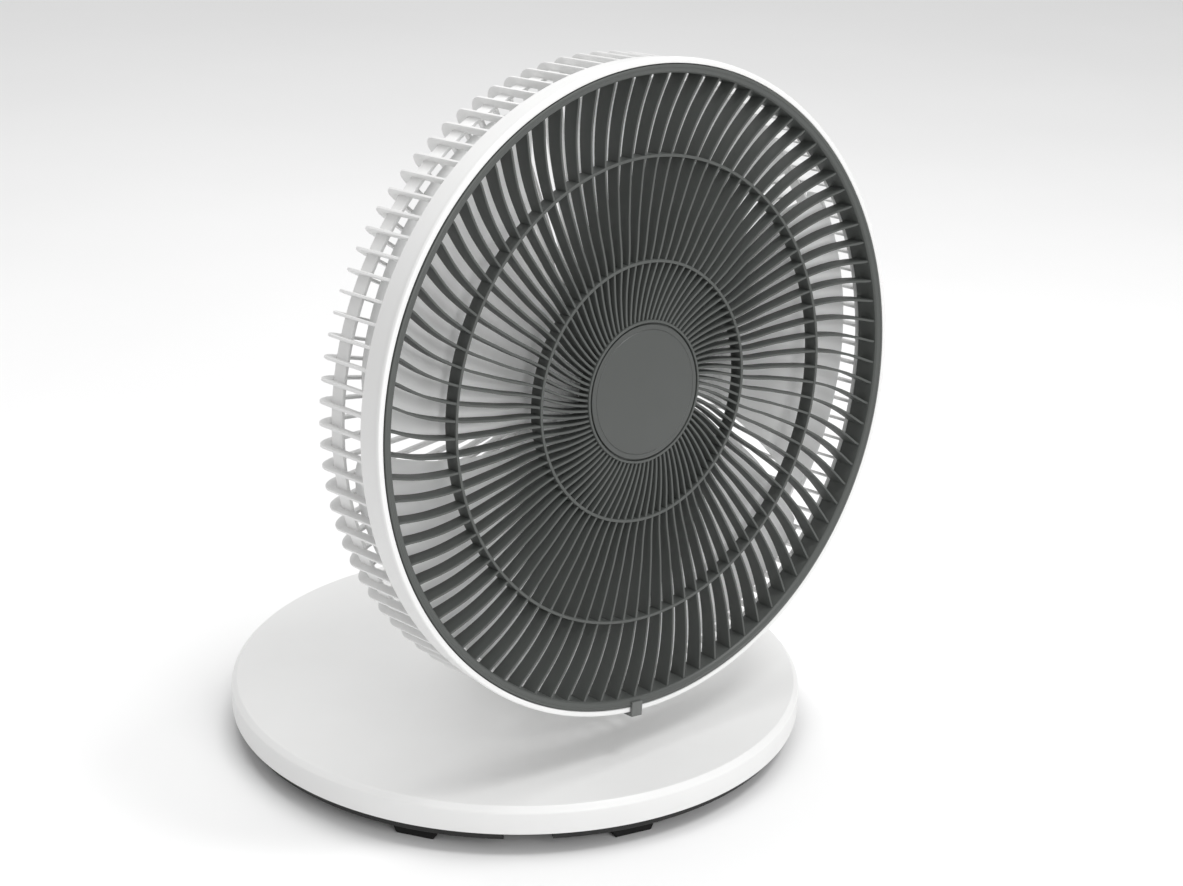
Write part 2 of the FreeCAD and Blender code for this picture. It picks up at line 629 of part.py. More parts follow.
def rear_guard():
    """The white rear basket: a collar, thin ribs, a hoop inside them and a middle plate."""
    rib = Part.Face(rib_outline()).extrude(Vector(0, size("rib_thick"), 0))
    rib.translate(Vector(0, -size("rib_thick") / 2, 0))
    count = int(size("rib_count"))
    ribs = [rib.rotated(Vector(), Vector(0, 0, 1), 360 * i / count) for i in range(count)]

    def hoop(outer, inner, front, back):
        start = Vector(0, 0, front)
        return Part.makeCylinder(outer, back - front, start).cut(
            Part.makeCylinder(inner, back - front, start))

    lip = hoop(size("rim_radius"), size("rim_inner"), size("rim_front"), size("collar_back"))
    ledge = hoop(size("rim_inner") + 0.5, size("ring_inner"), size("ledge_front"), size("collar_back"))
    inside = size("rib_outer") - size("rib_height")
    inner_hoop = hoop(inside + 0.5, inside - 1.5, size("hoop_front"), size("hoop_back"))
    plate = hoop(size("plate_radius"), size("nose_radius"), size("mount_face") - 4, size("mount_face"))
    node("rear_guard", made("RearGuard", lip.multiFuse([ledge, inner_hoop, plate] + ribs)), HEAD)


def grille_latch():
    """The small clip at the bottom that locks the front guard to the rim."""
    clip = box("Clip", "latch_width", "2.4", "latch_depth", ("-latch_width / 2", "rim_radius", "rim_front"))
    hook = box("ClipHook", "latch_width", "10", "1.4", ("-latch_width / 2", "rim_radius - 7.6", "-1.4"))
    post = box("ClipPost", "latch_width", "2.4", "rim_front + 1.4",
               ("-latch_width / 2", "rim_radius", "-1.4"))
    turned = Placement(Vector(), Rotation(Vector(0, 0, 1), size("latch_turn")))
    node("grille_latch", fuse("GrilleLatch", clip, hook, post), HEAD.multiply(turned))


def guard_nut():
    """The plastic ring nut that clamps the rear guard to the motor."""
    nut = ring("GuardNutBlank", "nut_radius", "nose_radius", "nut_length",
               ("0", "0", "mount_face - 4 - nut_length"))
    grips = []
    for i in range(10):
        grip = cylinder(f"GuardNutGrip{i}", "2.5", "nut_length + 2")
        spot = polar(size("nut_radius") + 0.8, 36 * i, size("mount_face") - 5 - size("nut_length"))
        grip.Placement = Placement(spot, Rotation())
        grips.append(grip)
    node("guard_nut", cut("GuardNut", nut, group("GuardNutGrips", *grips)), HEAD)


# ---------------------------------------------------------------- motor

def motor_front():
    """The front end shield with the nose that carries the front bearing."""
    body = turned_body("MotorFront", [
        ("bearing_radius", "nose_front"), ("nose_radius", "nose_front"),
        ("nose_radius", "mount_face"), ("shield_radius", "mount_face"),
        ("shield_radius", "mount_face + shield_thick"), ("bearing_radius", "mount_face + shield_thick")])
    node("motor_front", cut("MotorFrontDrilled", body, bolt_holes("Front")), HEAD)


def bolt_holes(name):
    """Four holes for the long bolts, right through the motor."""
    holes = []
    for i in range(4):
        hole = cylinder(f"{name}BoltHole{i}", "bolt_radius", "80")
        spot = polar(size("bolt_circle"), 45 + 90 * i, size("mount_face") - 10)
        hole.Placement = Placement(spot, Rotation())
        holes.append(hole)
    return group(name + "BoltHoles", *holes)


def motor_bracket():
    """The rear end shield, cast in one piece with the lug that the head tilts on."""
    body = turned_body("BracketDisc", [
        ("bearing_radius", "stator_back + 2"), ("bearing_radius + 4", "stator_back + 2"),
        ("bearing_radius + 4", "back_shield"), ("stator_radius", "back_shield"),
        ("stator_radius", "back_shield + shield_thick"), ("bearing_radius", "back_shield + shield_thick")])
    start = Vector(0, 30, size("back_shield") + 2)
    reach = PIVOT - start
    arm = bind(doc.addObject("Part::Box", "BracketArm"), Length="2 * ear_inner - 0.8", Width="16")
    arm.Height = reach.Length
    leaning = Rotation(Vector(0, 0, 1), reach)
    corner = leaning.multVec(Vector(0.4 - size("ear_inner"), -8, 0))
    arm.Placement = Placement(start + corner, leaning)
    eye = cylinder("BracketEye", "ear_radius", "2 * ear_inner - 0.8")
    eye.Placement = Placement(PIVOT + Vector(0.4 - size("ear_inner"), 0, 0), ALONG_X)
    bore = cylinder("BracketBore", "pin_radius + running_gap", "4 * ear_inner")
    bore.Placement = Placement(PIVOT - Vector(2 * size("ear_inner"), 0, 0), ALONG_X)
    cuts = group("BracketCuts", bore, bolt_holes("Back"))
    node("motor_bracket", cut("MotorBracket", fuse("BracketBody", body, arm, eye), cuts), HEAD)


def motor_cover():
    """The rounded shell over the motor, with cooling slots in its back and a slot for the lug."""
    body = turned_body("CoverShell", [
        ("cover_radius", "mount_face"), ("cover_radius", "cover_back"), ("1", "cover_back"),
        ("1", "cover_back - cover_wall"), ("cover_radius - cover_round", "cover_back - cover_wall"),
        ("cover_radius - cover_wall", "cover_back - cover_round"),
        ("cover_radius - cover_wall", "mount_face")])
    round_rims(body, "CoverRound", "cover_round - 2", [(size("cover_radius"), size("cover_back"))])
    cuts = [box("LugSlot", "2 * ear_inner + 0.4", "cover_radius", "40",
                ("-ear_inner - 0.2", "20", "cover_back - 24"))]
    for i in range(24):
        angle = 15 * i
        if 45 < angle < 135:
            continue
        vent = box(f"Vent{i}", "vent_long", "vent_wide", "12", ORIGIN)
        turned = Rotation(Vector(0, 0, 1), angle)
        corner = polar(size("vent_start"), angle, size("cover_back") - 6)
        corner += turned.multVec(Vector(0, -size("vent_wide") / 2, 0))
        vent.Placement = Placement(corner, turned)
        cuts.append(vent)
    node("motor_cover", cut("MotorCover", body, group("CoverCuts", *cuts)), HEAD)


def motor_inside():
    """The stator with its coils, the bearings, the long bolts and the run capacitor."""
    block = box("StatorBlock", "stator_side", "stator_side", "stator_back - stator_front",
                ("-stator_side / 2", "-stator_side / 2", "stator_front"))
    disc = cylinder("StatorDisc", "stator_radius", "stator_back - stator_front", ("0", "0", "stator_front"))
    core = doc.addObject("Part::Common", "StatorBlank")
    core.Base = block
    core.Tool = disc
    bore = cylinder("StatorBore", "stator_bore", "40", ("0", "0", "stator_front - 5"))
    node("stator_core", cut("StatorCore", core, group("StatorCuts", bore, bolt_holes("Stator"))), HEAD)
    coils = [ring("FrontCoil", "coil_outer", "coil_inner", "coil_thick - 0.5",
                  ("0", "0", "stator_front - coil_thick + 0.5")),
             ring("BackCoil", "coil_outer", "coil_inner", "coil_thick", ("0", "0", "stator_back"))]
    node("windings", group("Windings", *coils), HEAD)
    node("front_bearing", ring("FrontBearing", "bearing_radius", "shaft_radius + running_gap",
                               "front_bearing_long", ("0", "0", "nose_front + 1")), HEAD)
    node("rear_bearing", ring("RearBearing", "bearing_radius", "shaft_radius + running_gap",
                              "rear_bearing_long", ("0", "0", "stator_back + 2.5")), HEAD)
    can = box("CapacitorCan", "capacitor_wide", "capacitor_deep", "capacitor_long",
              ("-capacitor_wide / 2", "-stator_side / 2 - 10", "stator_front + 2"))
    node("capacitor", fuse("Capacitor", can, box("CapacitorTail", "4", "4", "3", (
        "-2", "-stator_side / 2 - 8", "stator_back - 2"))), HEAD)
    bolts = []
    for i in range(4):
        stem = cylinder(f"BoltStem{i}", "bolt_radius", "back_shield + shield_thick - mount_face")
        stem.Placement = Placement(polar(size("bolt_circle"), 45 + 90 * i, size("mount_face")), Rotation())
        head = cylinder(f"BoltHead{i}", "1.8 * bolt_radius", "2")
        top = size("back_shield") + size("shield_thick")
        head.Placement = Placement(polar(size("bolt_circle"), 45 + 90 * i, top), Rotation())
        bolts.append(fuse(f"MotorBolt{i}", stem, head))
    node("motor_bolts", group("MotorBolts", *bolts), HEAD)


# ---------------------------------------------------------------- what spins

def blade(turn):
    """One wide shallow blade between a hub curve and a tip curve, with a lip behind its tip."""
    def curve(radius, span, lead, front, back):
        points = []
        for step in range(9):
            part = step / 8
            points.append(polar(radius, turn + lead + part * span, front + part * (back - front)))
        line = Part.BSplineCurve()
        line.interpolate(points)
        return line.toShape()

    def tip(radius, inset):
        """The tip curve, drawn in by inset degrees at both ends."""
        return curve(radius, size("blade_span_tip") - 2 * inset, size("blade_lead") + inset,
                     size("blade_front"), size("blade_back"))

    hub = curve(size("impeller_hub") - 1, size("blade_span_hub"), 0,
                size("impeller_front") + 1, size("impeller_back") - 5)
    outer, thick = size("impeller_radius"), size("lip_thick")
    sheet = Part.makeRuledSurface(hub, tip(outer - thick / 2, 0))
    sheet = sheet.extrude(Vector(0, 0, size("blade_thick")))
    lip = Part.makeRuledSurface(tip(outer - thick, 1), tip(outer, 1))
    lip.translate(Vector(0, 0, size("blade_thick") / 3))
    return sheet.fuse(lip.extrude(Vector(0, 0, size("lip_depth"))))


def impeller():
    """The blades on their open hub cup."""
    front, back = size("impeller_front"), size("impeller_back")
    radius = size("impeller_hub")
    cup = Part.makeCylinder(radius, back - front, Vector(0, 0, front))
    floor = Vector(0, 0, front + size("cup_floor"))
    cup = cup.cut(Part.makeCylinder(radius - size("cup_wall"), back - front, floor))
    sleeve = Part.makeCylinder(size("sleeve_radius"), back - front - 2, Vector(0, 0, front))
    bore = Part.makeCylinder(size("shaft_radius"), back, Vector(0, 0, front / 2))
    count = int(size("blade_count"))
    blades = [blade(size("blade_turn") + 360 * i / count) for i in range(count)]
    node("impeller", made("Impeller", cup.multiFuse([sleeve] + blades).cut(bore)), HEAD)


def rotor():
    """The shaft, the rotor core and the nut that holds the impeller on."""
    node("shaft", cylinder("Shaft", "shaft_radius", "back_shield + shield_thick - shaft_front"),
         HEAD.multiply(Placement(Vector(0, 0, size("shaft_front")), Rotation())))
    node("rotor_core", ring("RotorCore", "rotor_radius", "shaft_radius",
                            "stator_back - stator_front", ("0", "0", "stator_front")), HEAD)
    nut = turned_body("SpinnerNut", [
        ("shaft_radius", "shaft_front"), ("spinner_radius - 3", "shaft_front"),
        ("spinner_radius", "impeller_front - 1.5"), ("spinner_radius", "impeller_front"),
        ("shaft_radius", "impeller_front")])
    node("spinner_nut", nut, HEAD)


def build():
    for make in (base_cover, base_plate, rubber_feet, base_weight, base_screws, base_lugs,
                 cord_inlet, control_board, swing_gear, swing_bush, swing_pinion, swing_motor,
                 neck_shells, neck_screws, tilt_yoke, tilt_fastener, speed_control, swing_control,
                 front_grille, hub_badge, rear_guard, grille_latch, guard_nut, motor_front,
                 motor_bracket, motor_cover, motor_inside, impeller, rotor):
        make()
    doc.recompute()


def check():
    """Stop if anything in the document failed or a sub-part is not a sound solid."""
    for thing in doc.Objects:
        if "Invalid" in thing.State or "Error" in thing.State:
            raise RuntimeError(f"{thing.Label} failed: {thing.State}")
    bad = [thing.Label for thing in nodes
           if thing.Shape.isNull() or not thing.Shape.isValid() or not thing.Shape.Solids]
    if bad:
        raise RuntimeError("not valid solids: " + ", ".join(bad))


def write():
    os.makedirs("parts", exist_ok=True)
    for thing in nodes:
        thing.Shape.exportStep(f"parts/{thing.Label}.step")
        print(thing.Label, len(thing.Shape.Solids), round(thing.Shape.Volume))


build()
check()
write()
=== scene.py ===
import json
import math

import bmesh
import bpy
import numpy as np
from mathutils import Matrix, Vector


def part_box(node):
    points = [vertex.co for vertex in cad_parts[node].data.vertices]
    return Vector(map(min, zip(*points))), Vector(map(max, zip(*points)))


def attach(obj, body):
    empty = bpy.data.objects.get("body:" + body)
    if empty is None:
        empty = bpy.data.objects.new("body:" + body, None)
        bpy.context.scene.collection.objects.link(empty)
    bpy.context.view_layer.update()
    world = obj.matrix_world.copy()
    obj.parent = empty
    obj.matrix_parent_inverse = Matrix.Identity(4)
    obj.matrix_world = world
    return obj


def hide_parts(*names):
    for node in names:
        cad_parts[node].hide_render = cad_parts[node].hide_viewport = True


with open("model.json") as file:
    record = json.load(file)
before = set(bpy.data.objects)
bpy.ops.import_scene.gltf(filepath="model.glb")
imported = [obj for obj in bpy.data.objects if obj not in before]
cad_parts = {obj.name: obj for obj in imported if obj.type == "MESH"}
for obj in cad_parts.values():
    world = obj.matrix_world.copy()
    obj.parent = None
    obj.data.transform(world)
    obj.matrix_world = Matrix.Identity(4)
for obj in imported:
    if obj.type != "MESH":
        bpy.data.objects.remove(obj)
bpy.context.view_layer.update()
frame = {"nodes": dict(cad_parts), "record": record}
RECORD = frame["record"]
JOINTS = {joint["name"]: joint for joint in RECORD["behaviour"]["joints"]}
MM = 0.001

# Sizes in millimetres. They follow the CAD part's, apart from small differences in the front
# guard's depths, the badge and the edges. Depths are measured back from the front ring.
DISC_RADIUS, DISC_BOTTOM, DISC_TOP, DOME_TOP = 182.0, 15.0, 32.5, 36.0
OPENING_RADIUS, SHELL = 29.5, 2.5
SKIRT_RADIUS, STEP_BOTTOM, PAN_RADIUS, PLATE_BOTTOM, PLATE_THICK = 178.0, 9.3, 146.0, 6.5, 2.5
SKIRT_WALL, RIM_WIDTH, BUSH_RADIUS, BOSS_RADIUS, BOSS_TOP = 3.0, 9.0, 18.0, 22.0, 21.0
FOOT_COUNT, FOOT_TURN, FOOT_WIDTH, FOOT_INNER, FOOT_OUTER = 8, -14.0, 31.0, 148.0, 170.0
FOOT_SLOPE, FOOT_EDGE = 3.6, 0.8
NOTCH_TURN, NOTCH_WIDTH = -36.0, 29.0
RING_RADIUS, RING_INNER, RING_DEPTH = 190.0, 185.0, 16.0
RIM_RADIUS, RIM_INNER, RIM_FRONT, COLLAR_BACK = 194.0, 190.5, 1.0, 20.0
FIN_COUNT, FIN_THICK, BAND_THICK = 88, 1.6, 1.8
HUB_RADIUS, BAND_ONE, BAND_TWO = 42.6, 77.0, 138.0
SEAT_FRONT, SEAT_FLOOR, SEAT_BACK, BADGE_RADIUS = 8.0, 10.2, 17.2, 40.0
RIB_COUNT, RIB_THICK, RIB_OUTER, RIB_HEIGHT, RIB_BACK, RIB_BEND = 96, 1.9, 192.0, 5.0, 68.0, 12.0
RIB_SWELL, HOOP_GAP, HOOP_THICK, HOOP_FRONT, HOOP_BACK = 4.5, 1.5, 2.2, 44.0, 54.0
MOUNT_FACE, PLATE_RADIUS, PLATE_DEPTH, NOSE_RADIUS, COVER_RADIUS = 62.0, 62.0, 4.0, 17.0, 56.0
LATCH_TURN, LATCH_WIDTH = 6.25, 8.0
BLADE_COUNT, BLADE_TURN, BLADE_LEAD, BLADE_RADIUS = 5, 27.0, 14.0, 180.0
HUB_SPAN, TIP_SPAN, TIP_FRONT, TIP_BACK = 58.0, 66.0, 19.0, 30.0
BLADE_HUB, BLADE_FRONT, HUB_BACK = 38.0, 22.0, 46.0
BLADE_MIDDLE, LEAD_BOW, TIP_CORNER = 1.2, 1.5, 5.0
LIP_THICK, LIP_DEPTH, LIP_SET_BACK, LIP_TAPER = 1.6, 20.0, 0.8, 0.45
SHAFT_RADIUS, SLEEVE_RADIUS, CUP_WALL = 4.0, 10.0, 2.5
KNOB_BORE, KNOB_RADIUS, KNOB_FLANGE, KNOB_RIDGES = 3.1, 14.0, 3.0, 36

# how many steps the round shapes are drawn with
FINE, MEDIUM, COARSE = 320, 256, 128


# ---------------------------------------------------------------- placing

def head_matrix():
    """From the head's own frame (depth along +Z, +Y down) in mm to the row frame in metres."""
    joint = JOINTS["blade_spin"]
    back = -Vector(joint["axis"]).normalized()
    across = Vector((1, 0, 0))
    down = back.cross(across)
    turn = Matrix((across, down, back)).transposed().to_4x4()
    return Matrix.Translation(Vector(joint["pos_m"])) @ turn @ Matrix.Scale(MM, 4)


HEAD = head_matrix()
ROW = Matrix.Scale(MM, 4)
REARWARD = ROW @ Matrix(((1, 0, 0, 0), (0, 0, 1, 0), (0, -1, 0, 0), (0, 0, 0, 1)))


def polar(radius, degrees, height=0.0):
    angle = math.radians(degrees)
    return (radius * math.cos(angle), radius * math.sin(angle), height)


# ---------------------------------------------------------------- mesh building

def piece(name, points, faces, place, body, slot, replaces=(), crease=35.0):
    """A mesh piece from points in mm, put in its place, smoothed and set to ride on a body."""
    mesh = bpy.data.meshes.new(name)
    mesh.from_pydata([tuple(point) for point in points], [], faces)
    mesh.transform(place)
    work = bmesh.new()
    work.from_mesh(mesh)
    bmesh.ops.remove_doubles(work, verts=work.verts, dist=1e-6)
    bmesh.ops.recalc_face_normals(work, faces=work.faces)
    work.to_mesh(mesh)
    work.free()
    mesh.polygons.foreach_set("use_smooth", [True] * len(mesh.polygons))
    mesh.set_sharp_from_angle(angle=math.radians(crease))
    thing = bpy.data.objects.new(name, mesh)
    bpy.context.scene.collection.objects.link(thing)
    mesh.materials.append(MATERIALS[slot])
    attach(thing, body)
    if replaces:
        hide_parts(*replaces)


def rounded(corners, steps=4):
    """An outline from (across, up, fillet) corners, with an arc in place of each filleted corner."""
    outline = []
    count = len(corners)
    for i, (x, y, fillet) in enumerate(corners):
        here = Vector((x, y))
        before = Vector(corners[i - 1][:2]) - here
        after = Vector(corners[(i + 1) % count][:2]) - here
        if fillet <= 0:
            outline.append((x, y))
            continue
        half = before.angle(after) / 2
        reach = min(fillet / math.tan(half), 0.49 * before.length, 0.49 * after.length)
        start = here + before.normalized() * reach
        end = here + after.normalized() * reach
        for step in range(steps + 1):
            t = step / steps
            point = start * (1 - t) ** 2 + here * 2 * t * (1 - t) + end * t ** 2
            outline.append((point.x, point.y))
    return outline


def turned(outline, segments=MEDIUM, start=0.0, sweep=360.0):
    """Points and faces of an outline of (radius, depth) turned about the Z axis."""
    full = sweep >= 360.0
    rows = segments if full else segments + 1
    count = len(outline)
    points = []
    for row in range(rows):
        angle = math.radians(start + sweep * row / segments)
        points += [(r * math.cos(angle), r * math.sin(angle), z) for r, z in outline]
    faces = []
    for row in range(segments):
        here, there = row * count, ((row + 1) % rows) * count
        for i in range(count):
            j = (i + 1) % count
            faces.append((here + i, here + j, there + j, there + i))
    if not full:
        faces.append(tuple(range(count)))
        faces.append(tuple(range((rows - 1) * count, rows * count))[::-1])
    return points, faces


def swept(stations):
    """Points and faces of a solid through a row of sections, closed at both ends."""
    count = len(stations[0])
    points = [point for section in stations for point in section]
    faces = []
    for row in range(len(stations) - 1):
        for i in range(count):
            j = (i + 1) % count
            base, top = row * count, (row + 1) * count
            faces.append((base + i, base + j, top + j, top + i))
    faces.append(tuple(range(count))[::-1])
    faces.append(tuple(range((len(stations) - 1) * count, len(stations) * count)))
    return points, faces


def around(points, faces, count, start=0.0):
    """Copies of one solid spaced evenly about the Z axis, as one set of points and faces."""
    base = np.array([tuple(point) for point in points])
    all_points, all_faces = [], []
    for i in range(count):
        angle = math.radians(start + 360.0 * i / count)
        cosine, sine = math.cos(angle), math.sin(angle)
        turn = np.array([[cosine, sine, 0], [-sine, cosine, 0], [0, 0, 1]])
        all_points += (base @ turn).tolist()
        all_faces += [tuple(i * len(base) + k for k in face) for face in faces]
    return all_points, all_faces


def join(*solids):
    """Several (points, faces) pairs as one."""
    points, faces = [], []
    for more_points, more_faces in solids:
        offset = len(points)
        points += [tuple(point) for point in more_points]
        faces += [tuple(offset + k for k in face) for face in more_faces]
    return points, faces


def block(low, high, bevel):
    """A box between two corners with rounded edges, as a swept stack of rounded rectangles."""
    (x0, y0, z0), (x1, y1, z1) = low, high
    levels = [(z0, bevel), (z0 + 0.3 * bevel, 0.3 * bevel), (z0 + bevel, 0.0),
              (z1 - bevel, 0.0), (z1 - 0.3 * bevel, 0.3 * bevel), (z1, bevel)]
    stations = []
    for z, inset in levels:
        outline = rounded([(x0 + inset, y0 + inset, bevel), (x1 - inset, y0 + inset, bevel),
                           (x1 - inset, y1 - inset, bevel), (x0 + inset, y1 - inset, bevel)], 3)
        stations.append([(x, y, z) for x, y in outline])
    return swept(stations)


def smooth_through(marks, value):
    """A smooth curve through (place, height) marks, read at one place."""
    places = [mark[0] for mark in marks]
    heights = [mark[1] for mark in marks]
    slopes = np.gradient(heights, places)
    i = min(max(int(np.searchsorted(places, value)) - 1, 0), len(marks) - 2)
    width = places[i + 1] - places[i]
    t = min(max((value - places[i]) / width, 0.0), 1.0)
    return (heights[i] * (1 + 2 * t) * (1 - t) ** 2 + slopes[i] * width * t * (1 - t) ** 2
            + heights[i + 1] * t * t * (3 - 2 * t) + slopes[i + 1] * width * t * t * (t - 1))


# ---------------------------------------------------------------- materials

# a noise's middle range, and the depth in metres of a plastic's grain and a metal's marks
NOISE_LOW, NOISE_HIGH = 0.3, 0.7
GRAIN_DEPTH, MARK_DEPTH = 0.0003, 0.0002


def new_material(name):
    material = bpy.data.materials.new(name)
    material.use_nodes = True
    tree = material.node_tree
    return material, tree.nodes, tree.links, tree.nodes["Principled BSDF"]


def object_noise(nodes, links, scale, detail=3.0, stretch=(1, 1, 1)):
    """A noise texture fixed to the object, so that it stays put on a moving piece."""
    place = nodes.new("ShaderNodeTexCoord")
    mapping = nodes.new("ShaderNodeMapping")
    mapping.inputs["Scale"].default_value = stretch
    noise = nodes.new("ShaderNodeTexNoise")
    noise.inputs["Scale"].default_value = scale
    noise.inputs["Detail"].default_value = detail
    links.new(place.outputs["Object"], mapping.inputs["Vector"])
    links.new(mapping.outputs["Vector"], noise.inputs["Vector"])
    return noise


def vary(nodes, links, noise, target, low, high):
    """Drive a number from a noise, between a low and a high value."""
    span = nodes.new("ShaderNodeMapRange")
    span.inputs["From Min"].default_value = NOISE_LOW
    span.inputs["From Max"].default_value = NOISE_HIGH
    span.inputs["To Min"].default_value = low
    span.inputs["To Max"].default_value = high
    links.new(noise.outputs["Fac"], span.inputs["Value"])
    links.new(span.outputs["Result"], target)


def tint(nodes, links, noise, target, colour, change):
    """Drive a colour from a noise, a little darker to a little lighter than the given one."""
    ramp = nodes.new("ShaderNodeValToRGB")
    ramp.color_ramp.elements[0].position = NOISE_LOW
    ramp.color_ramp.elements[1].position = NOISE_HIGH
    ramp.color_ramp.elements[0].color = [c * (1 - change) for c in colour] + [1]
    ramp.color_ramp.elements[1].color = [min(1, c * (1 + change)) for c in colour] + [1]
    links.new(noise.outputs["Fac"], ramp.inputs["Fac"])
    links.new(ramp.outputs["Color"], target)


def plastic(name, colour, rough, grain=900.0, relief=0.05, change=0.03, specular=0.5):
    """Moulded plastic: a fine grain, slow clouding of the colour and an uneven sheen."""
    material, nodes, links, shader = new_material(name)
    shader.inputs["Specular IOR Level"].default_value = specular
    cloud = object_noise(nodes, links, 14.0)
    tint(nodes, links, cloud, shader.inputs["Base Color"], colour, change)
    vary(nodes, links, object_noise(nodes, links, 60.0), shader.inputs["Roughness"],
         rough - 0.05, rough + 0.05)
    bump = nodes.new("ShaderNodeBump")
    bump.inputs["Strength"].default_value = relief
    bump.inputs["Distance"].default_value = GRAIN_DEPTH
    links.new(object_noise(nodes, links, grain, 2.0).outputs["Fac"], bump.inputs["Height"])
    links.new(bump.outputs["Normal"], shader.inputs["Normal"])
    return material


def metal(name, colour, rough, stretch=(1, 1, 12), relief=0.08):
    """Machined or cast metal with fine marks along one direction."""
    material, nodes, links, shader = new_material(name)
    shader.inputs["Metallic"].default_value = 1.0
    marks = object_noise(nodes, links, 220.0, 4.0, stretch)
    tint(nodes, links, marks, shader.inputs["Base Color"], colour, 0.10)
    vary(nodes, links, marks, shader.inputs["Roughness"], rough - 0.07, rough + 0.07)
    bump = nodes.new("ShaderNodeBump")
    bump.inputs["Strength"].default_value = relief
    bump.inputs["Distance"].default_value = MARK_DEPTH
    links.new(marks.outputs["Fac"], bump.inputs["Height"])
    links.new(bump.outputs["Normal"], shader.inputs["Normal"])
    return material


def make_materials():
    return {
        "white_plastic": plastic("white_plastic", (0.74, 0.74, 0.735), 0.38, relief=0.04, change=0.015),
        "black_plastic": plastic("black_plastic", (0.006, 0.006, 0.006), 0.6, relief=0.15),
        "grey_plastic": plastic("grey_plastic", (0.10, 0.105, 0.10), 0.45, relief=0.08),
        "grille_plastic": plastic("grille_plastic", (0.066, 0.071, 0.067), 0.48, relief=0.10),
        "badge_plastic": plastic("badge_plastic", (0.060, 0.064, 0.061), 0.42, relief=0.05),
        "latch_plastic": plastic("latch_plastic", (0.12, 0.125, 0.12), 0.45, relief=0.08),
        "blade_plastic": plastic("blade_plastic", (0.84, 0.845, 0.84), 0.34, relief=0.03, change=0.02),
        "rubber": plastic("rubber", (0.012, 0.012, 0.012), 0.85, relief=0.3, specular=0.25),
        "steel": metal("steel", (0.55, 0.56, 0.58), 0.32),
        "cast_aluminium": metal("cast_aluminium", (0.60, 0.61, 0.63), 0.5, (1, 1, 1), 0.3),
        "motor_can": metal("motor_can", (0.56, 0.56, 0.57), 0.35),
        "bronze": metal("bronze", (0.55, 0.36, 0.16), 0.42, (1, 1, 1), 0.2),
        "copper": metal("copper", (0.55, 0.20, 0.08), 0.35, (1, 1, 30), 0.6),
        "nylon": plastic("nylon", (0.72, 0.69, 0.60), 0.42),
        "circuit_board": plastic("circuit_board", (0.02, 0.13, 0.05), 0.35, 400.0, 0.1, 0.2),
        "capacitor_case": plastic("capacitor_case", (0.03, 0.035, 0.05), 0.4),
    }


MATERIALS = make_materials()


def paint_cad_nodes():
    """Give every CAD node the material of its slot."""
    for part in RECORD["subparts"]:
        thing = frame["nodes"][part["node"]]
        material = MATERIALS[part["material_slot"]]
        if not thing.material_slots:
            thing.data.materials.append(material)
        for place in thing.material_slots:
            place.material = material


# ---------------------------------------------------------------- front guard

# where each fin has turned to, in degrees, and how deep its front edge lies, at each radius
FIN_TURN = [(HUB_RADIUS, 0.0), (60.0, 4.6), (BAND_ONE, 8.6), (107.0, 11.0),
            (BAND_TWO, 12.8), (160.0, 14.6), (RING_INNER, 17.4)]
FIN_DEPTH = [(HUB_RADIUS, 8.8), (BAND_ONE, 8.2), (BAND_TWO, 6.2), (165.0, 4.4), (RING_INNER, 2.4)]
FIN_BACK = [(HUB_RADIUS, 17.0), (BAND_ONE, 16.6), (BAND_TWO, 15.4), (RING_INNER, 14.0)]


def fin():
    """One fin of the front guard: a thin blade on edge that curves from the hub to the ring."""
    stations = []
    half = FIN_THICK / 2
    for step in range(37):
        radius = HUB_RADIUS - 0.6 + (RING_INNER + 1.0 - HUB_RADIUS + 0.6) * step / 36
        turn = smooth_through(FIN_TURN, radius)
        ahead = smooth_through(FIN_TURN, radius + 0.5)
        here = Vector(polar(radius, turn))
        along = (Vector(polar(radius + 0.5, ahead)) - here).normalized()
        side = Vector((-along.y, along.x, 0))
        front = smooth_through(FIN_DEPTH, radius)
        back = smooth_through(FIN_BACK, radius)
        section = [(-half * 0.8, back), (-half, front + 0.7), (-half * 0.75, front + 0.18),
                   (0, front), (half * 0.75, front + 0.18), (half, front + 0.7), (half * 0.8, back)]
        stations.append([here + side * across + Vector((0, 0, depth)) for across, depth in section])
    return swept(stations)


def band(radius, front, back):
    half = BAND_THICK / 2
    return turned(rounded([(radius - half, front, 0.5), (radius + half, front, 0.5),
                           (radius + half, back, 0.3), (radius - half, back, 0.3)]))


def front_guard():
    """The dark front guard with its ring, fins, two bands and the seat of the badge."""
    ring = turned(rounded([
        (RING_RADIUS, 0.4, 0.6), (RING_RADIUS - 1.6, 0.0, 0.4), (RING_RADIUS - 2.0, 0.5, 0.2),
        (RING_INNER + 0.9, 0.8, 0.6), (RING_INNER, 2.0, 0.6), (RING_INNER - 0.5, RING_DEPTH, 0.4),
        (RING_RADIUS, RING_DEPTH, 0.4)]), FINE)
    seat = turned(rounded([
        (HUB_RADIUS, SEAT_FRONT, 0.7), (HUB_RADIUS - 1.5, SEAT_FRONT, 0.4),
        (HUB_RADIUS - 1.7, SEAT_FLOOR, 0.2), (0.0, SEAT_FLOOR, 0), (0.0, SEAT_FLOOR + 2, 0),
        (HUB_RADIUS - 2.0, SEAT_FLOOR + 2, 0.3), (HUB_RADIUS - 2.0, SEAT_BACK, 0.3),
        (HUB_RADIUS, SEAT_BACK, 0.3)]), COARSE)
    bands = [band(BAND_ONE, 7.8, 16.8), band(BAND_TWO, 5.9, 15.6)]
    points, faces = join(ring, seat, *bands, around(*fin(), FIN_COUNT, 1.0))
    piece("front_guard", points, faces, HEAD, "head", "grille_plastic", ["front_grille"])


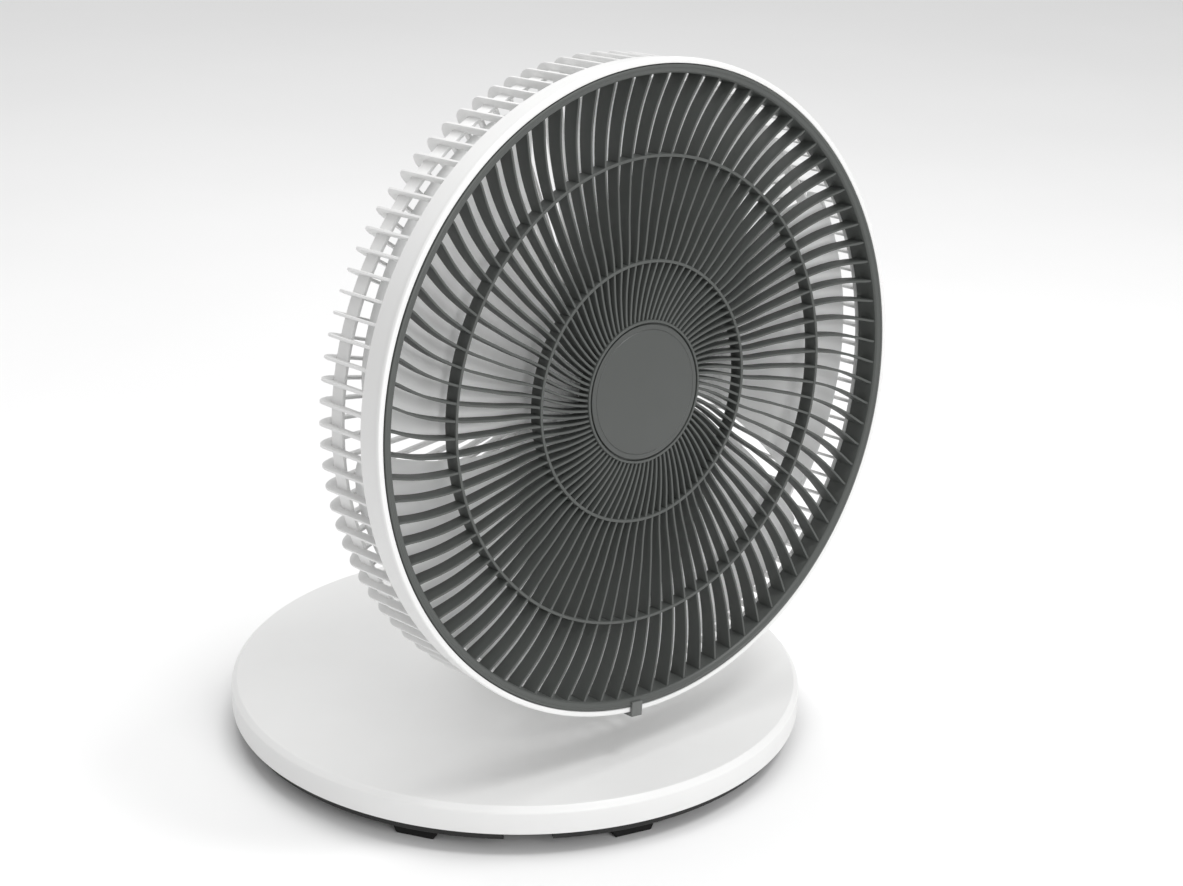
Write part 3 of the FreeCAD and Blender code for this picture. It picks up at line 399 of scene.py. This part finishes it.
def badge():
    """The plain satin cap on the hub, with a fine turned groove near its edge."""
    edge = BADGE_RADIUS
    outline = rounded([(0.0, 7.7, 0), (edge - 3.4, 7.9, 0.3), (edge - 3.0, 8.3, 0.15),
                       (edge - 2.6, 7.95, 0.2), (edge, 8.1, 0.5), (edge, 10.1, 0.1), (0.0, 10.1, 0)])
    points, faces = turned(outline, COARSE)
    piece("badge_cap", points, faces, HEAD, "head", "badge_plastic", ["hub_badge"])


# ---------------------------------------------------------------- rear guard

def rib_path():
    """The outer edge of one rib, as (radius, depth, inward direction) from the collar inwards."""
    path = [(RIB_OUTER, COLLAR_BACK - 1.0 + (RIB_BACK - RIB_BEND - COLLAR_BACK + 1.0) * i / 3, 0.0)
            for i in range(3)]
    for step in range(13):
        angle = 90.0 * step / 12
        turn = math.radians(angle)
        path.append((RIB_OUTER - RIB_BEND + RIB_BEND * math.cos(turn),
                     RIB_BACK - RIB_BEND + RIB_BEND * math.sin(turn), angle))
    last = RIB_OUTER - RIB_BEND
    for i in range(1, 7):
        part = i / 6
        path.append((last + (PLATE_RADIUS - 2 - last) * part,
                     RIB_BACK + (MOUNT_FACE - RIB_BACK) * part, 90.0))
    return path


def rib():
    """One thin rib of the rear guard with a rounded outer edge, deeper round its corner."""
    half = RIB_THICK / 2
    stations = []
    for radius, depth, angle in rib_path():
        turn = math.radians(angle)
        height = RIB_HEIGHT + RIB_SWELL * math.sin(2 * turn)
        section = [(-half * 0.8, height), (-half, 0.8), (-half * 0.6, 0.15), (half * 0.6, 0.15),
                   (half, 0.8), (half * 0.8, height)]
        inward = Vector((-math.cos(turn), 0, -math.sin(turn)))
        here = Vector((radius, 0, depth))
        stations.append([here + inward * down + Vector((0, across, 0)) for across, down in section])
    return swept(stations)


def rear_guard():
    """The white rear basket: rim lip, collar, ribs, a hoop in the corner and the middle plate."""
    collar = turned(rounded([
        (RIM_INNER, RIM_FRONT, 0.5), (RIM_RADIUS - 0.3, RIM_FRONT, 1.0), (RIM_RADIUS, 3.2, 0.5),
        (RIM_RADIUS - 0.8, 4.2, 0.5), (RIM_RADIUS - 1.6, COLLAR_BACK, 0.9),
        (RING_INNER + 0.4, COLLAR_BACK, 0.6), (RING_INNER + 0.4, RING_DEPTH + 0.8, 0.3),
        (RIM_INNER, RING_DEPTH + 0.8, 0.2)]), FINE)
    hoop_inner = RIB_OUTER - RIB_HEIGHT - HOOP_GAP
    hoop_outer = hoop_inner + HOOP_THICK
    hoop = turned(rounded([(hoop_inner, HOOP_FRONT, 0.5), (hoop_outer, HOOP_FRONT, 0.5),
                           (hoop_outer, HOOP_BACK, 0.5), (hoop_inner, HOOP_BACK, 0.5)]))
    plate = turned(rounded([
        (NOSE_RADIUS, MOUNT_FACE - PLATE_DEPTH, 0.3), (PLATE_RADIUS, MOUNT_FACE - PLATE_DEPTH, 0.8),
        (PLATE_RADIUS, MOUNT_FACE + 0.4, 0.8), (COVER_RADIUS + 2, MOUNT_FACE + 0.4, 0.3),
        (COVER_RADIUS + 1.4, MOUNT_FACE - 0.3, 0.3), (NOSE_RADIUS, MOUNT_FACE - 0.3, 0.2)]), COARSE)
    points, faces = join(collar, hoop, plate, around(*rib(), RIB_COUNT))
    piece("rear_basket", points, faces, HEAD, "head", "white_plastic", ["rear_guard"])


def latch():
    """The clip at the bottom of the ring: a tab over the ring and a leg along the rim."""
    half = LATCH_WIDTH / 2
    tab = block((-half, RING_RADIUS - 3.0, -1.2), (half, RIM_RADIUS + 2.2, 0.6), 0.5)
    leg = block((-half, RIM_RADIUS + 0.1, -1.0), (half, RIM_RADIUS + 2.2, 9.5), 0.5)
    points, faces = around(*join(tab, leg), 1, LATCH_TURN)
    piece("ring_clip", points, faces, HEAD, "head", "latch_plastic", ["grille_latch"])


# ---------------------------------------------------------------- blades

def blade():
    """One wide shallow blade, thick in the middle and thin at its edges."""
    rows, columns = 22, 26
    hub_front, hub_back = BLADE_FRONT + 1.0, HUB_BACK - 5.0
    top, bottom = [], []
    for i in range(rows + 1):
        out = i / rows
        for k in range(columns + 1):
            along = k / columns
            corner = abs(2 * along - 1) ** 9
            tip = BLADE_RADIUS - LIP_THICK / 2 - TIP_CORNER * corner
            radius = BLADE_HUB - 2 + (tip - BLADE_HUB + 2) * out
            lead = BLADE_LEAD * out - LEAD_BOW * math.sin(math.pi * out)
            span = HUB_SPAN + (TIP_SPAN - HUB_SPAN) * math.sin(math.pi / 2 * out)
            front = hub_front + (TIP_FRONT - hub_front) * out
            back = hub_back + (TIP_BACK - hub_back) * out
            depth = front + BLADE_MIDDLE + (back - front) * along
            thick = 0.35 + 1.1 * (1 - abs(2 * along - 1) ** 2.5) * (1 - 0.5 * out)
            x, y, _ = polar(radius, lead + span * along)
            top.append((x, y, depth - thick))
            bottom.append((x, y, depth + thick))
    count = len(top)
    faces = []
    for i in range(rows):
        for k in range(columns):
            a = i * (columns + 1) + k
            b, c, d = a + 1, a + columns + 2, a + columns + 1
            faces.append((a, b, c, d))
            faces.append((count + a, count + d, count + c, count + b))
    border = ([k for k in range(columns)] + [i * (columns + 1) + columns for i in range(rows)]
              + [rows * (columns + 1) + k for k in range(columns, 0, -1)]
              + [i * (columns + 1) for i in range(rows, 0, -1)])
    for a, b in zip(border, border[1:] + border[:1]):
        faces.append((a, b, count + b, count + a))
    return top + bottom, faces


def lip():
    """The thin lip that runs back from a blade's tip, lower towards both of its ends."""
    steps = 40
    stations = []
    for k in range(steps + 1):
        along = k / steps
        angle = BLADE_LEAD + 1.0 + (TIP_SPAN - 2.0) * along
        front = TIP_FRONT + LIP_SET_BACK + (TIP_BACK - TIP_FRONT) * along
        back = front + LIP_DEPTH * (1 - LIP_TAPER * abs(2 * along - 1) ** 8)
        outer, inner = BLADE_RADIUS, BLADE_RADIUS - LIP_THICK
        section = [(inner, front), (outer, front), (outer, back - 0.5), (outer - 0.5, back),
                   (inner + 0.5, back), (inner, back - 0.5)]
        stations.append([Vector(polar(radius, angle, depth)) for radius, depth in section])
    return swept(stations)


def impeller():
    """The blades on a rounded hub cup, riding on the rotor."""
    cup = turned(rounded([
        (SLEEVE_RADIUS, BLADE_FRONT, 0.4), (BLADE_HUB - 8, BLADE_FRONT, 5.0),
        (BLADE_HUB, BLADE_FRONT + 6, 5.0), (BLADE_HUB, HUB_BACK, 0.6),
        (BLADE_HUB - CUP_WALL, HUB_BACK, 0.6), (BLADE_HUB - CUP_WALL, BLADE_FRONT + 8, 4.0),
        (SLEEVE_RADIUS, BLADE_FRONT + 3, 0.4)]), COARSE)
    sleeve = turned(rounded([
        (SHAFT_RADIUS, BLADE_FRONT, 0.3), (SLEEVE_RADIUS + 0.2, BLADE_FRONT, 0.3),
        (SLEEVE_RADIUS - 1, HUB_BACK - 3, 0.5), (SHAFT_RADIUS, HUB_BACK - 3, 0.3)]), 48)
    points, faces = join(cup, sleeve, around(*join(blade(), lip()), BLADE_COUNT, BLADE_TURN))
    piece("impeller_wheel", points, faces, HEAD, "rotor", "blade_plastic", ["impeller"], 50.0)


# ---------------------------------------------------------------- base and neck

def base():
    """The white disc: a shallow dome with a soft crest and a hole for the neck."""
    shell = turned(rounded([
        (DISC_RADIUS, DISC_BOTTOM, 0.5), (DISC_RADIUS, DISC_TOP - 3.5, 2.5),
        (DISC_RADIUS - 3.2, DISC_TOP - 0.2, 1.6), (150.0, DISC_TOP + 1.0, 60.0),
        (OPENING_RADIUS + 14, DOME_TOP - 0.2, 20.0), (OPENING_RADIUS, DOME_TOP, 0.8),
        (OPENING_RADIUS, DOME_TOP - SHELL, 0.4), (150.0, DISC_TOP - SHELL + 1, 0),
        (DISC_RADIUS - 5, DISC_TOP - SHELL, 1.5), (DISC_RADIUS - SHELL, DISC_TOP - 6, 1.5),
        (DISC_RADIUS - SHELL, DISC_BOTTOM, 0.4)], 6), FINE)
    piece("disc_shell", *shell, ROW, "base", "white_plastic", ["base_cover"])


def tray():
    """The black tray: a pan with its boss, a raised rim, and a short skirt with a notch in it."""
    half_notch = math.degrees(NOTCH_WIDTH / 2 / SKIRT_RADIUS)
    inside = SKIRT_RADIUS - RIM_WIDTH
    skirt = turned(rounded([
        (SKIRT_RADIUS, STEP_BOTTOM, 0.9), (SKIRT_RADIUS, DISC_BOTTOM + PLATE_THICK, 0.4),
        (SKIRT_RADIUS - SKIRT_WALL, DISC_BOTTOM + PLATE_THICK, 0.3),
        (SKIRT_RADIUS - SKIRT_WALL, STEP_BOTTOM + PLATE_THICK, 0.3),
        (inside, STEP_BOTTOM + PLATE_THICK, 0), (inside, STEP_BOTTOM, 0)]),
        240, NOTCH_TURN - 90 + half_notch, 360 - 2 * half_notch)
    step, wall = STEP_BOTTOM + PLATE_THICK, PAN_RADIUS - SKIRT_WALL
    pan = turned(rounded([
        (BUSH_RADIUS, PLATE_BOTTOM, 0.4), (PAN_RADIUS, PLATE_BOTTOM, 0.8), (PAN_RADIUS, STEP_BOTTOM, 0.3),
        (inside, STEP_BOTTOM, 0), (inside, step, 0), (wall, step, 0.3),
        (wall, PLATE_BOTTOM + PLATE_THICK, 0.3), (BOSS_RADIUS, PLATE_BOTTOM + PLATE_THICK, 0.3),
        (BOSS_RADIUS, BOSS_TOP, 0.5), (BUSH_RADIUS, BOSS_TOP, 0.5)]))
    points, faces = join(skirt, pan)
    piece("base_tray", points, faces, ROW, "base", "black_plastic", ["base_plate"])


def feet():
    """Eight rubber block feet with sloping ends and rounded edges."""
    half = FOOT_WIDTH / 2
    stations = []
    for y, inset in ((-FOOT_OUTER, FOOT_EDGE), (-FOOT_OUTER + FOOT_EDGE, 0.0),
                     (-FOOT_INNER - FOOT_EDGE, 0.0), (-FOOT_INNER, FOOT_EDGE)):
        foot = half - FOOT_SLOPE - inset
        outline = rounded([(-half + inset, STEP_BOTTOM, 0), (-foot, inset, 1.2),
                           (foot, inset, 1.2), (half - inset, STEP_BOTTOM, 0)])
        stations.append([(x, y, z) for x, z in outline])
    points, faces = around(*swept(stations), FOOT_COUNT, FOOT_TURN)
    piece("block_feet", points, faces, ROW, "base", "rubber", ["rubber_feet"])


def control_knob():
    """The speed knob with fine grip ridges round it and a pointer line."""
    joint = JOINTS["speed_turn"]
    low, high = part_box("speed_knob")
    start = low[1] / MM
    length = (high[1] - low[1]) / MM
    place = Matrix.Translation((0, start * MM, joint["pos_m"][2])) @ REARWARD
    body = turned(rounded([
        (KNOB_BORE, 0, 0.2), (KNOB_RADIUS, 0, 0.6), (KNOB_RADIUS, KNOB_FLANGE - 0.8, 0.6),
        (KNOB_RADIUS - 2.4, KNOB_FLANGE, 0.4), (KNOB_RADIUS - 2.8, length, 1.2),
        (KNOB_BORE, length - 0.3, 0.2)]), 96)
    cap = turned(rounded([(0.0, length - 0.4, 0), (3.6, length - 0.4, 0), (3.6, length - 1.4, 0),
                          (0.0, length - 1.4, 0)]), 32)
    ridge = block((11.0, -0.35, 3.6), (12.1, 0.35, length - 1.4), 0.3)
    pointer = block((4.0, -0.6, length - 0.2), (10.0, 0.6, length), 0.08)
    points, faces = join(body, cap, around(*ridge, KNOB_RIDGES), pointer)
    piece("knob_speed", points, faces, place, "knob", "grey_plastic", ["speed_knob"])


# ---------------------------------------------------------------- stage, light and camera

FLOOR_HALF = 40.0
SENSOR_WIDTH = 36.0
LENS = SENSOR_WIDTH * 2500 / 1183


def stage():
    """A plain pale floor, large enough that its edge stays out of sight."""
    mesh = bpy.data.meshes.new("floor")
    corners = [(x * FLOOR_HALF, y * FLOOR_HALF, 0) for x, y in ((-1, -1), (1, -1), (1, 1), (-1, 1))]
    mesh.from_pydata(corners, [], [(0, 1, 2, 3)])
    floor = bpy.data.objects.new("floor", mesh)
    bpy.context.scene.collection.objects.link(floor)
    material, nodes, links, shader = new_material("pale_floor")
    tint(nodes, links, object_noise(nodes, links, 3.0), shader.inputs["Base Color"],
         (0.88, 0.88, 0.88), 0.01)
    shader.inputs["Roughness"].default_value = 0.9
    mesh.materials.append(material)


def area_light(name, place, aim, size, power):
    data = bpy.data.lights.new(name, "AREA")
    data.shape = "SQUARE"
    data.size = size
    data.energy = power
    light = bpy.data.objects.new(name, data)
    bpy.context.scene.collection.objects.link(light)
    light.location = place
    light.rotation_euler = (Vector(aim) - Vector(place)).to_track_quat("-Z", "Y").to_euler()


def lights():
    world = bpy.data.worlds.new("studio")
    world.use_nodes = True
    background = world.node_tree.nodes["Background"]
    background.inputs["Color"].default_value = (1, 1, 1, 1)
    background.inputs["Strength"].default_value = 0.66
    bpy.context.scene.world = world
    middle = (0, -0.08, 0.24)
    area_light("key_softbox", (0.40, -1.00, 2.10), middle, 0.5, 15)
    area_light("front_softbox", (-0.3, -1.9, 0.9), middle, 0.9, 12)
    area_light("top_softbox", (0.1, 0.3, 1.9), middle, 1.4, 15)
    bpy.context.scene.view_settings.view_transform = "Standard"


def camera():
    """The camera, looking down on the fan from the front and the left."""
    azimuth, elevation, roll = math.radians(-40.54), math.radians(21.74), math.radians(1.43)
    distance, aside, above = 1.510, 0.0062, 0.0062
    aim = Vector((0, -0.060, 0.200))
    towards = Vector((math.sin(azimuth) * math.cos(elevation),
                      -math.cos(azimuth) * math.cos(elevation), math.sin(elevation)))
    right = Vector((math.cos(azimuth), math.sin(azimuth), 0))
    up = towards.cross(right)
    tilted_right = right * math.cos(roll) + up * math.sin(roll)
    tilted_up = up * math.cos(roll) - right * math.sin(roll)
    data = bpy.data.cameras.new("camera")
    data.sensor_fit = "HORIZONTAL"
    data.sensor_width = SENSOR_WIDTH
    data.lens = LENS
    view = bpy.data.objects.new("camera", data)
    bpy.context.scene.collection.objects.link(view)
    place = aim + towards * distance + tilted_right * aside + tilted_up * above
    turn = Matrix((tilted_right, tilted_up, towards)).transposed().to_4x4()
    view.matrix_world = Matrix.Translation(place) @ turn
    bpy.context.scene.camera = view


paint_cad_nodes()
front_guard()
badge()
rear_guard()
latch()
impeller()
base()
tray()
feet()
control_knob()
stage()
lights()
camera()
